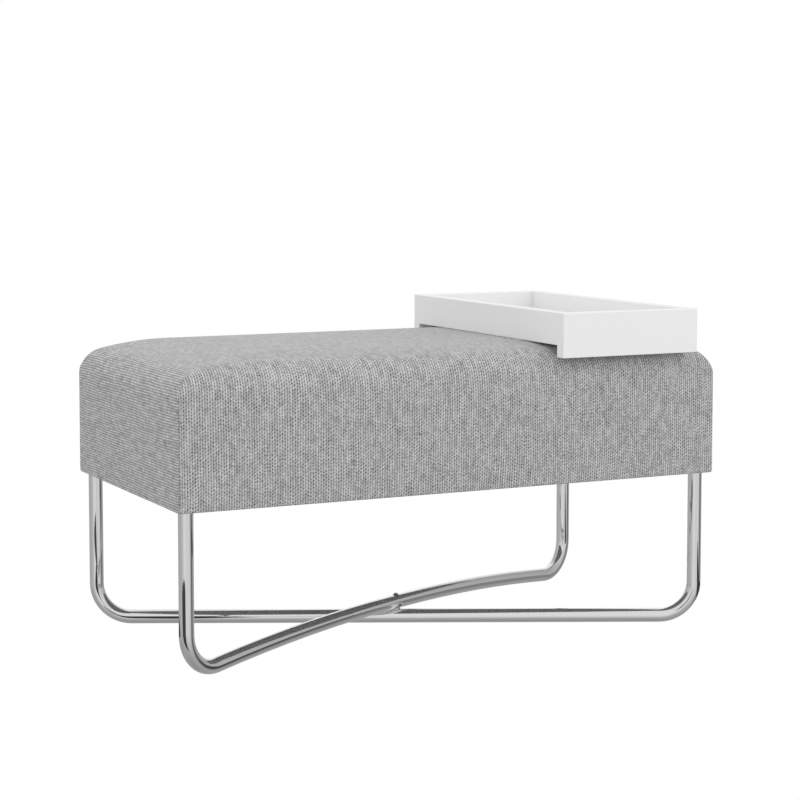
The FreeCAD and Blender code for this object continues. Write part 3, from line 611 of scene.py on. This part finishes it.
def rounded_plan(x, y, half_x, half_y, radius):
    """A rectangle's grid point drawn in so that the plan's corners are round."""
    over_x = np.maximum(np.abs(x) - (half_x - radius), 0)
    over_y = np.maximum(np.abs(y) - (half_y - radius), 0)
    drawn_x = over_x * np.sqrt(1 - over_y ** 2 / (2 * radius ** 2))
    drawn_y = over_y * np.sqrt(1 - over_x ** 2 / (2 * radius ** 2))
    return x - np.sign(x) * (over_x - drawn_x), y - np.sign(y) * (over_y - drawn_y)


def rim_walk(columns, rows):
    """Indices of a grid's rim, once round: the front, the right end, the back and the left end."""
    front = [(i, 0) for i in range(columns)]
    right = [(columns - 1, j) for j in range(1, rows)]
    back = [(i, rows - 1) for i in range(columns - 2, -1, -1)]
    left = [(0, j) for j in range(rows - 2, 0, -1)]
    return front + right + back + left


class SeatForm:
    """The seat's padded form at some inset: its top as a grid, and its rim to hang the sides from."""

    def __init__(self, inset=0.0):
        self.half_x = HALF_LENGTH - inset
        self.half_y = HALF_DEPTH - inset
        self.radius = CORNER_RADIUS - inset
        self.xs = grid_lines(self.half_x, END_CROWN_WIDTH)
        self.ys = grid_lines(self.half_y, FRONT_CROWN_WIDTH)
        x, y = np.meshgrid(self.xs, self.ys, indexing="ij")
        self.flat = np.stack([x, y], -1)
        plan_x, plan_y = rounded_plan(x, y, self.half_x, self.half_y, self.radius)
        self.top = np.stack([plan_x, plan_y, top_height(x, y, inset)], -1)
        self.rim = rim_walk(len(self.xs), len(self.ys))

    def index(self, i, j):
        """A grid point's number among the points."""
        return i * len(self.ys) + j

    def top_points(self):
        """The top's points, one after the other."""
        return self.top.reshape(-1, 3)

    def top_faces(self):
        """Faces of the top's grid."""
        columns, rows = len(self.xs) - 1, len(self.ys) - 1
        return [(self.index(i, j), self.index(i + 1, j), self.index(i + 1, j + 1), self.index(i, j + 1))
                for i in range(columns) for j in range(rows)]

    def rim_indices(self):
        """Numbers of the rim's points."""
        return [self.index(i, j) for i, j in self.rim]

    def rim_flat(self):
        """The rim's places on the square-cornered plan."""
        return np.array([self.flat[i, j] for i, j in self.rim])

    def rim_points(self):
        """The rim's points on the padded form."""
        return np.array([self.top[i, j] for i, j in self.rim])

    def rim_inward(self):
        """The level direction that points inwards at each point of the rim."""
        points = self.rim_points()[:, :2]
        straight = [self.half_x - self.radius, self.half_y - self.radius]
        centre = np.sign(points) * np.minimum(np.abs(points), straight)
        inward = centre - points
        return inward / np.linalg.norm(inward, axis=1)[:, None]


def level_row(place, height):
    """A row of points at one height."""
    return np.column_stack([place, np.full(len(place), height)])


def wall_rows(rim, bottom, count):
    """Rows of points that hang straight down from a rim to a level, the rim itself left out."""
    return [np.column_stack([rim[:, :2], rim[:, 2] + (bottom - rim[:, 2]) * share])
            for share in np.linspace(0, 1, count + 1)[1:]]


def wall_faces(rim_indices, first, count, rows):
    """Faces of a wall that hangs from a closed rim, row under row."""
    levels = [rim_indices]
    levels += [range(first + k * count, first + (k + 1) * count) for k in range(rows)]
    faces = []
    for upper, lower in zip(levels, levels[1:]):
        for k in range(count):
            following = (k + 1) % count
            faces.append((upper[k], lower[k], lower[following], upper[following]))
    return faces


def hem_points(form):
    """Where the hem's inner edge lies under the seat: set back, and snipped away round each leg plate."""
    flat = form.rim_flat()
    snip = np.array([PLATE_LOW.x, PLATE_LOW.y]) - NOTCH_CLEARANCE
    outer = np.array([PLATE_HIGH.x, PLATE_HIGH.y]) + NOTCH_CLEARANCE
    half = np.array([form.half_x, form.half_y])
    size = np.abs(flat)
    squeezed = np.where(size > snip, snip + (size - snip) * (outer - snip) / (half - snip), size)
    points = np.sign(flat) * squeezed
    for k, (column, _) in enumerate(form.rim):
        along = 1 if column in (0, len(form.xs) - 1) else 0
        across = 1 - along
        if size[k, along] < snip[along]:
            near_plate = smooth_step(snip[along] - HEM_SNIP, snip[along], size[k, along])
            reach = HEM_WIDTH + (half[across] - outer[across] - HEM_WIDTH) * near_plate
        else:
            reach = half[across] - outer[across]
        if size[k, across] >= half[across] - TINY:
            points[k, across] = np.sign(flat[k, across]) * (half[across] - reach)
    return points


def arc_length(points):
    """Distance along a line of points, measured from its middle."""
    steps = np.linalg.norm(np.diff(points, axis=0), axis=1)
    length = np.concatenate([[0], np.cumsum(steps)])
    return length - length[-1] / 2


def seat_cover():
    """One cloth skin: the crowned top, the sides with a sewn dart up each corner, and the turned hem."""
    form = SeatForm()
    rim = form.rim_points()
    inward = form.rim_inward()
    roll_top = SEAT_BOTTOM - HEM_DROP + HEM_ROLL
    rows = wall_rows(rim, roll_top, SIDE_ROWS)
    for turn in np.linspace(0, math.pi / 2, ROLL_ROWS + 1)[1:]:
        place = rim[:, :2] + inward * HEM_ROLL * (1 - math.cos(turn))
        rows.append(level_row(place, roll_top - HEM_ROLL * math.sin(turn)))
    rolled = rows[-1][:, :2]
    inner = hem_points(form)
    for share in np.linspace(0, 1, HEM_ROWS + 1)[1:]:
        place = rolled + (inner - rolled) * share
        rows.append(level_row(place, SEAT_BOTTOM - HEM_DROP * (1 - share) ** HEM_RISE_POWER))
    points = np.concatenate([form.top_points(), *rows])
    top_count = len(form.top_points())
    faces = form.top_faces() + wall_faces(form.rim_indices(), top_count, len(rim), len(rows))
    cover = new_piece("seat_cover_cloth", points, faces, "woven_cover")
    lay_cloth(cover, form, points, top_count)
    sew_darts(cover, form, top_count)
    fill_out(cover)
    cover.modifiers.new("cloth_thickness", "SOLIDIFY").thickness = COVER_THICKNESS
    cover.modifiers.new("soft_faces", "SUBSURF").render_levels = 1
    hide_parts("seat_cover")


def straight_edges(lengths, places):
    """Lengths along the cloth over the top, with plain distance where it rounds over its edges."""
    start = places[-1] - SIDE_EDGE
    start_length = np.interp(start, places, lengths)
    beyond = np.abs(places) - start
    return np.where(beyond > 0, np.sign(places) * (start_length + beyond), lengths)


def lay_cloth(cover, form, points, top_count):
    """Gives each face's corners their place on the flat cloth, in metres, the ribs along the depth."""
    middle_x, middle_y = len(form.xs) // 2, len(form.ys) // 2
    across = arc_length(form.top[:, middle_y])
    along = arc_length(form.top[middle_x])
    straight = [straight_edges(across, form.xs), straight_edges(along, form.ys)]
    count = len(form.rim)
    layer = cover.data.uv_layers.new(name="cloth")
    last_column = len(form.xs) - 1
    drop = np.zeros(len(points))
    below = points[top_count:].reshape(-1, count, 3)
    above = np.concatenate([form.rim_points()[None], below])
    drop[top_count:] = np.cumsum(np.linalg.norm(np.diff(above, axis=0), axis=2), axis=0).ravel()
    # Towards a corner the edge dips, and the threads stay level by as much
    inset = np.array([form.half_x, form.half_y]) - np.abs(form.flat)
    x, y = form.flat[..., 0], form.flat[..., 1]
    here = top_height(x, y)
    dips = np.stack([top_height(x, 0 * y) - here, top_height(0 * x, y) - here], -1)
    over_edge = 1 - smooth_step(0, SIDE_EDGE, inset)
    dips *= over_edge
    for face in cover.data.polygons:
        columns = [(v - top_count) % count for v in face.vertices if v >= top_count]
        if columns:
            on_end = all(form.rim[k][0] in (0, last_column) for k in columns)
        else:
            middle = np.mean([inset[divmod(v, len(form.ys))] for v in face.vertices], axis=0)
            on_end = middle[0] < middle[1]
        axis = 0 if on_end else 1
        other = 1 - axis
        for corner in face.loop_indices:
            vertex = cover.data.loops[corner].vertex_index
            if vertex < top_count:
                i, j = divmod(vertex, len(form.ys))
            else:
                i, j = form.rim[(vertex - top_count) % count]
            place = [across[i], along[j]]
            place[axis] += np.sign(form.flat[i, j, axis]) * (drop[vertex] + dips[i, j, axis])
            place[other] += over_edge[i, j, axis] * (straight[other][(i, j)[other]] - place[other])
            layer.data[corner].uv = place


def sew_darts(cover, form, top_count):
    """Draws a sewn line up each corner, with a soft swell on both sides, and marks it for the painted
    shade along it.
    """
    mesh = cover.data
    row_count = (len(mesh.vertices) - top_count) // len(form.rim)
    flat = np.concatenate([form.flat.reshape(-1, 2), np.tile(form.rim_flat(), (row_count, 1))])
    inset = np.array([form.half_x, form.half_y]) - np.abs(flat)
    aside = np.abs(inset[:, 0] - inset[:, 1]) * SEAM_ASIDE
    coordinates = np.array([v.co for v in mesh.vertices])
    normals = np.array([v.normal for v in mesh.vertices])
    heights = coordinates[:, 2]
    on_top = np.arange(len(flat)) < top_count
    keep = np.where(on_top, 1 - smooth_step(SEAM_FADE_LOW, SEAM_FADE_HIGH, heights), 1)
    keep *= smooth_step(SEAT_BOTTOM - SEAM_STARTS_BELOW, SEAT_BOTTOM + HEM_ROLL, heights)
    width = SEAM_WIDTH + SEAM_WIDENS * np.minimum(inset.sum(1) / 2, SIDE_EDGE) * on_top
    groove = np.exp(-(aside / width) ** 2) * keep
    swell = np.exp(-((aside - SEAM_SWELL_AT) / SEAM_SWELL_WIDTH) ** 2) * keep
    moved = coordinates + normals * (SEAM_SWELL * swell - SEAM_DEPTH * groove)[:, None]
    mesh.vertices.foreach_set("co", moved.astype(np.float32).ravel())
    mesh.attributes.new("seam", "FLOAT", "POINT").data.foreach_set("value", groove.astype(np.float32))
    mesh.update()


def fill_out(cover):
    """Swells the cloth's sides by a short simulation, held along its hem and its sewn corners."""
    scene = bpy.context.scene
    rest = np.array([v.co for v in cover.data.vertices])
    seam = np.array([point.value for point in cover.data.attributes["seam"].data])
    fixed = (rest[:, 2] < SEAT_BOTTOM + HELD_ABOVE_HEM) | (seam > HELD_SEAM)
    held = cover.vertex_groups.new(name="held")
    held.add([int(k) for k in np.flatnonzero(fixed)], 1.0, "REPLACE")
    swelling = cover.modifiers.new("swelling", "CLOTH")
    cloth = swelling.settings
    cloth.tension_stiffness = SWELL_STIFFNESS
    cloth.compression_stiffness = SWELL_STIFFNESS
    cloth.shear_stiffness = SWELL_STIFFNESS / 2
    cloth.bending_stiffness = SWELL_BENDING
    cloth.air_damping = SWELL_AIR_DAMPING
    cloth.use_pressure = True
    cloth.uniform_pressure_force = SWELL_PRESSURE
    cloth.vertex_group_mass = held.name
    cloth.effector_weights.gravity = 0
    for frame_number in range(1, SWELL_FRAMES + 1):
        scene.frame_set(frame_number)
    swollen = cover.evaluated_get(bpy.context.evaluated_depsgraph_get()).data
    move = np.array([v.co for v in swollen.vertices]) - rest
    cover.modifiers.remove(swelling)
    cover.vertex_groups.remove(held)
    scene.frame_set(1)
    # The tray that slides on the top keeps its height, so only the level part of the swelling stays
    move[:, 2] = 0
    length = np.linalg.norm(move, axis=1)
    move *= np.minimum(1, SWELL_CAP / np.maximum(length, TINY))[:, None]
    cover.data.vertices.foreach_set("co", (rest + move).astype(np.float32).ravel())
    cover.data.update()


def top_foam():
    """The thick foam under the cover: the seat's crowned form, cut flat where it lies on the deck."""
    form = SeatForm(FOAM_INSET)
    rim = form.rim_points()
    rows = wall_rows(rim, DECK_TOP, FOAM_WALL_ROWS)
    flat_under = form.top_points().copy()
    flat_under[:, 2] = DECK_TOP
    top_count = len(flat_under)
    inner = [form.index(i, j) for i in range(1, len(form.xs) - 1) for j in range(1, len(form.ys) - 1)]
    points = np.concatenate([form.top_points(), *rows, flat_under[inner]])
    rim_indices = form.rim_indices()
    faces = form.top_faces() + wall_faces(rim_indices, top_count, len(rim), FOAM_WALL_ROWS)
    last_row = top_count + (FOAM_WALL_ROWS - 1) * len(rim)
    under = {grid: last_row + k for k, grid in enumerate(rim_indices)}
    under.update({grid: last_row + len(rim) + k for k, grid in enumerate(inner)})
    faces += [tuple(under[v] for v in reversed(face)) for face in form.top_faces()]
    piece = new_piece("seat_top_foam_block", points, faces, "foam")
    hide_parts("seat_top_foam")


def side_foam():
    """The thin foam glued round the seat box: a closed band with a rounded lower edge."""
    form = SeatForm(FOAM_INSET)
    rim = form.rim_points()[:, :2]
    inward = form.rim_inward()
    thickness = form.half_x - BOX_HALF_LENGTH
    half_way = (DECK_TOP + SIDE_FOAM_BOTTOM) / 2
    sunk = thickness * SIDE_FOAM_ROUND
    profile = [(0, DECK_TOP), (0, half_way)]
    for turn in np.linspace(0, math.pi / 2, SIDE_FOAM_ROUND_ROWS):
        profile.append((sunk * (1 - math.cos(turn)), SIDE_FOAM_BOTTOM + sunk * (1 - math.sin(turn))))
    profile += [(thickness, SIDE_FOAM_BOTTOM), (thickness, half_way), (thickness, DECK_TOP)]
    rings = [level_row(rim + inward * depth, height) for depth, height in profile]
    count, levels = len(rim), len(profile)
    faces = []
    for level in range(levels):
        this, following = level * count, (level + 1) % levels * count
        for k in range(count):
            n = (k + 1) % count
            faces.append((this + k, following + k, following + n, this + n))
    piece = new_piece("seat_side_foam_band", np.concatenate(rings), faces, "foam")
    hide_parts("seat_side_foam")


def lining_lines(notch, edge):
    """Places of the lining's grid lines, with one at each notch's edge."""
    middle = np.linspace(-notch, notch, 2 * round(notch / LINING_STEP) + 1)
    rest = np.linspace(notch, edge, max(2, round((edge - notch) / LINING_STEP)) + 1)[1:]
    return np.concatenate([-rest[::-1], middle, rest])


def bottom_lining():
    """The cloth stapled under the seat: stretched, a little slack, and notched at the leg plates."""
    notch_x, notch_y = PLATE_LOW.x - NOTCH_CLEARANCE, PLATE_LOW.y - NOTCH_CLEARANCE
    xs, ys = lining_lines(notch_x, LINING_HIGH.x), lining_lines(notch_y, LINING_HIGH.y)
    x, y = np.meshgrid(xs, ys, indexing="ij")
    from_end, from_side = LINING_HIGH.x - np.abs(x), LINING_HIGH.y - np.abs(y)
    from_edge = np.minimum(from_end, from_side)
    slack = smooth_step(LINING_TAUT, LINING_SLACK, from_edge)
    along_edge = np.where(from_end < from_side, y, x)
    pulls = np.sin(along_edge * math.tau / PULL_PITCH) * np.exp(-from_edge / PULL_REACH) * slack
    uneven = 1 + UNEVEN_SHARE * np.sin(UNEVEN_X * x + UNEVEN_START) * np.cos(UNEVEN_Y * y)
    sag = LINING_SAG * slack * uneven + PULL_DEPTH * pulls
    points = np.stack([x, y, LINING_LOW.z - sag], -1).reshape(-1, 3)
    rows = len(ys)
    faces = []
    for i in range(len(xs) - 1):
        for j in range(rows - 1):
            centre_x, centre_y = abs(xs[i] + xs[i + 1]) / 2, abs(ys[j] + ys[j + 1]) / 2
            if centre_x < notch_x or centre_y < notch_y:
                faces.append((i * rows + j, i * rows + j + 1, (i + 1) * rows + j + 1, (i + 1) * rows + j))
    used = sorted({v for face in faces for v in face})
    renumbered = {old: new for new, old in enumerate(used)}
    faces = [tuple(renumbered[v] for v in face) for face in faces]
    piece = new_piece("bottom_lining_sheet", points[used], faces, "lining")
    piece.modifiers.new("sheet_thickness", "SOLIDIFY").thickness = LINING_HIGH.z - LINING_LOW.z
    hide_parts("bottom_lining")


seat_cover()
top_foam()
side_foam()
bottom_lining()


# Stage, light and camera

FLOOR_HALF = 8.0
FLOOR_DROP = 0.3 * MM
FLOOR_GREY = 0.59

# Brightness of the studio round the bench as polished metal sees it, by degrees to the right of the
# camera, low down and above the horizon
STUDIO_LOW = [(-180, 0.60), (-160, 0.40), (-100, 0.41), (-70, 0.44), (-45, 0.52), (-25, 0.68),
              (-8, 0.74), (15, 0.64), (50, 0.68), (66, 0.56), (84, 0.28), (93, 0.06), (100, 0.06),
              (102, 0.2), (118, 0.32), (160, 0.4), (180, 0.60)]
STUDIO_HIGH = [(-180, 0.9), (-160, 0.7), (-125, 0.40), (-60, 0.52), (-20, 0.74), (25, 0.74),
               (70, 0.5), (105, 0.42), (138, 0.34), (152, 0.5), (166, 0.75), (180, 0.9)]
# and by the sine of the height above the horizon
STUDIO_RISE = [(-1.0, 0.42), (-0.6, 0.58), (-0.25, 0.97), (0.1, 1.0), (1.0, 1.0)]
# Heights, also as sines, where the low panels pass into the high ones, and where they pass into the floor
HORIZON = (-0.09, 0.03)
FLOORWARD = (-0.35, -0.8)
FLOORWARD_GREY = 0.7
# A dark gap between the panels, seen low down beside the camera: where it starts and ends, and its height
GAP_TURN = (-12, -2.9)
GAP_HEIGHT = (-0.13, 0.22)
GAP_SOFT_TURN = 0.4
GAP_SOFT_HEIGHT = 0.03
GAP_GREY = 0.03
# The soft light on everything else, with a little more from the camera's side and from the right
SOFT_LEVEL = 1.16
SOFT_NEAR = 0.14
SOFT_ASIDE = 0.06

# Black cards near the floor that show only in the polished metal: ovals by their middle, half sizes,
# turn in degrees and height, and a leaf by its stem, length, half opening and turn
CARD_GREY = 0.02
CARD_LIFT = 0.2 * MM
FLOOR_OVALS = {
    "far_left_card": ((-0.520, -0.015), 0.12, 0.07, 69.4, 30 * MM),
    "right_card": ((0.655, -0.420), 0.46, 0.12, 101.9, CARD_LIFT),
    "tube_card": ((-0.369, 0.048), 0.135, 0.085, -25.4, CARD_LIFT),
}
LEAF_STEM = (-0.440, -0.262)
LEAF_LENGTH = 0.69
LEAF_OPENING = 27
LEAF_TURN = 208.5
LEAF_CLOSES_FROM = 0.7
OUTLINE_STEPS = 64

# Soft boxes: place, the point that they face, size and power
SOFT_BOXES = {
    "overhead_box": ((0.2, -0.2, 2.6), (0, 0, 0.4), 2.4, 2.5),
    "front_box": ((1.2, -3.2, 1.4), (0, 0, 0.3), 1.8, 4),
}


def stage_object(name, data):
    """An object linked into the scene."""
    made = bpy.data.objects.new(name, data)
    bpy.context.scene.collection.objects.link(made)
    return made


def floor():
    """A wide pale floor that gives light back, as a white sweep in a studio does."""
    half = FLOOR_HALF
    mesh = bpy.data.meshes.new("floor")
    corners = [(-half, -half, 0), (half, -half, 0), (half, half, 0), (-half, half, 0)]
    mesh.from_pydata(corners, [], [tuple(range(len(corners)))])
    material, tree, _ = new_material("pale_floor", Base_Color=grey(FLOOR_GREY), Roughness=0.9)
    lit = tree.nodes["Principled BSDF"].outputs[0]
    shown = add_node(tree, "Emission", {"Color": grey(1.0), "Strength": 1.0}).outputs[0]
    seen = add_node(tree, "LightPath").outputs["Is Camera Ray"]
    white_to_camera = add_node(tree, "MixShader", {0: seen, 1: lit, 2: shown}).outputs[0]
    tree.links.new(white_to_camera, tree.nodes["Material Output"].inputs["Surface"])
    mesh.materials.append(material)
    plane = stage_object("floor", mesh)
    plane.location.z = -FLOOR_DROP
    plane.visible_glossy = False


def ramp(tree, value, stops):
    """A colour ramp of greys through (place, value) stops."""
    made = add_node(tree, "ValToRGB", {0: value})
    elements = made.color_ramp.elements
    while len(elements) < len(stops):
        elements.new(0.5)
    for element, (place, shade) in zip(elements, stops):
        element.position = place
        element.color = grey(shade)
    return made.outputs["Color"]


def span(tree, value, ends, soft):
    """1 between two ends, 0 outside them, with soft edges."""
    rising = remap(tree, value, (ends[0] - soft, ends[0] + soft))
    falling = remap(tree, value, (ends[1] - soft, ends[1] + soft), (1.0, 0.0))
    return calc(tree, "MULTIPLY", rising, falling)


def round_share(degrees):
    """Degrees to the right of the camera as a share of the way round, the camera's own side at a half."""
    return degrees / 360 + 0.5


def toward(tree, direction, axis):
    """How far a direction points along an axis."""
    return add_node(tree, "VectorMath", {0: direction, 1: axis}, operation="DOT_PRODUCT").outputs["Value"]


def studio_world():
    """White to the camera, an even soft light for the surfaces, and a panelled studio in reflections."""
    world = bpy.data.worlds.new("studio")
    bpy.context.scene.world = world
    world.use_nodes = True
    tree = world.node_tree
    tree.nodes.clear()
    direction = add_node(tree, "TexCoord").outputs["Generated"]
    near = toward(tree, direction, (math.sin(CAMERA_YAW), -math.cos(CAMERA_YAW), 0))
    aside = toward(tree, direction, (math.cos(CAMERA_YAW), math.sin(CAMERA_YAW), 0))
    height = add_node(tree, "SeparateXYZ", {0: direction}).outputs["Z"]
    turn = calc(tree, "ADD", calc(tree, "DIVIDE", calc(tree, "ARCTAN2", aside, near), math.tau), 0.5)
    low, high = [ramp(tree, turn, [(round_share(degrees), shade) for degrees, shade in stops])
                 for stops in (STUDIO_LOW, STUDIO_HIGH)]
    panels = mix_colour(tree, remap(tree, height, HORIZON), low, high)
    gap_round = span(tree, turn, [round_share(degrees) for degrees in GAP_TURN], GAP_SOFT_TURN / 360)
    gap = calc(tree, "MULTIPLY", gap_round, span(tree, height, GAP_HEIGHT, GAP_SOFT_HEIGHT))
    panels = mix_colour(tree, gap, panels, grey(GAP_GREY))
    even = mix_colour(tree, remap(tree, height, FLOORWARD), panels, grey(FLOORWARD_GREY))
    half_height = calc(tree, "MULTIPLY_ADD", height, 0.5, 0.5)
    rise = ramp(tree, half_height, [(sine / 2 + 0.5, shade) for sine, shade in STUDIO_RISE])
    reflected = mix_colour(tree, 1.0, even, rise, "MULTIPLY")
    soft = calc(tree, "MULTIPLY_ADD", near, SOFT_NEAR, SOFT_LEVEL)
    soft = calc(tree, "MULTIPLY_ADD", aside, SOFT_ASIDE, soft)
    path = add_node(tree, "LightPath").outputs
    seen = mix_colour(tree, path["Is Glossy Ray"], soft, reflected)
    shown = mix_colour(tree, path["Is Camera Ray"], seen, grey(1.0))
    background = add_node(tree, "Background", {"Color": shown, "Strength": 1.0})
    output = add_node(tree, "OutputWorld")
    tree.links.new(background.outputs[0], output.inputs["Surface"])


def oval(half_length, half_width):
    """The outline of an oval round its middle."""
    steps = np.linspace(0, math.tau, OUTLINE_STEPS + 1)[:-1]
    return np.column_stack([half_length * np.cos(steps), half_width * np.sin(steps)])


def leaf(length, opening, closes_from):
    """The outline of a leaf that opens evenly from its stem and then closes to a round tip."""
    share = np.linspace(0, 1, OUTLINE_STEPS // 2 + 1)
    closing = np.clip((share - closes_from) / (1 - closes_from), 0, 1)
    width = length * share * math.tan(math.radians(opening)) * np.sqrt(1 - closing ** 2)
    upper = np.column_stack([length * share, width])
    return np.concatenate([upper, upper[-2:0:-1] * (1, -1)])


def floor_card(name, place, outline, turn, height, material):
    """A level card near the floor that only reflections see."""
    mesh = bpy.data.meshes.new(name)
    mesh.from_pydata([(float(x), float(y), 0.0) for x, y in outline], [], [tuple(range(len(outline)))])
    mesh.materials.append(material)
    card = stage_object(name, mesh)
    card.location = (*place, height)
    card.rotation_euler.z = math.radians(turn)
    card.visible_camera = False
    card.visible_diffuse = False
    card.visible_shadow = False


def floor_cards():
    """All the cards, in one black."""
    black = new_material("black_card", Base_Color=grey(CARD_GREY), Roughness=1.0)[0]
    for name, (middle, half_length, half_width, turn, height) in FLOOR_OVALS.items():
        floor_card(name, middle, oval(half_length, half_width), turn, height, black)
    outline = leaf(LEAF_LENGTH, LEAF_OPENING, LEAF_CLOSES_FROM)
    floor_card("near_left_card", LEAF_STEM, outline, LEAF_TURN, CARD_LIFT, black)


def soft_box(name, place, target, size, power):
    """A square area light that faces a point and doesn't show in reflections."""
    light = bpy.data.lights.new(name, "AREA")
    light.size = size
    light.energy = power
    lamp = stage_object(name, light)
    lamp.location = place
    aim = Vector(target) - Vector(place)
    lamp.rotation_euler = aim.to_track_quat("-Z", "Y").to_euler()
    lamp.visible_glossy = False


def camera():
    """The camera at the photograph's place."""
    data = bpy.data.cameras.new("camera")
    data.lens = CAMERA_LENS_MM
    data.sensor_width = SENSOR_MM
    data.shift_y = CAMERA_SHIFT_UP
    made = stage_object("camera", data)
    made.location = CAMERA_PLACE
    made.rotation_euler = (math.pi / 2 - CAMERA_PITCH_DOWN, 0, CAMERA_YAW)
    bpy.context.scene.camera = made


floor()
floor_cards()
studio_world()
for box_name, (box_place, box_target, box_size, box_power) in SOFT_BOXES.items():
    soft_box(box_name, box_place, box_target, box_size, box_power)
camera()
bpy.context.scene.view_settings.view_transform = "Standard"
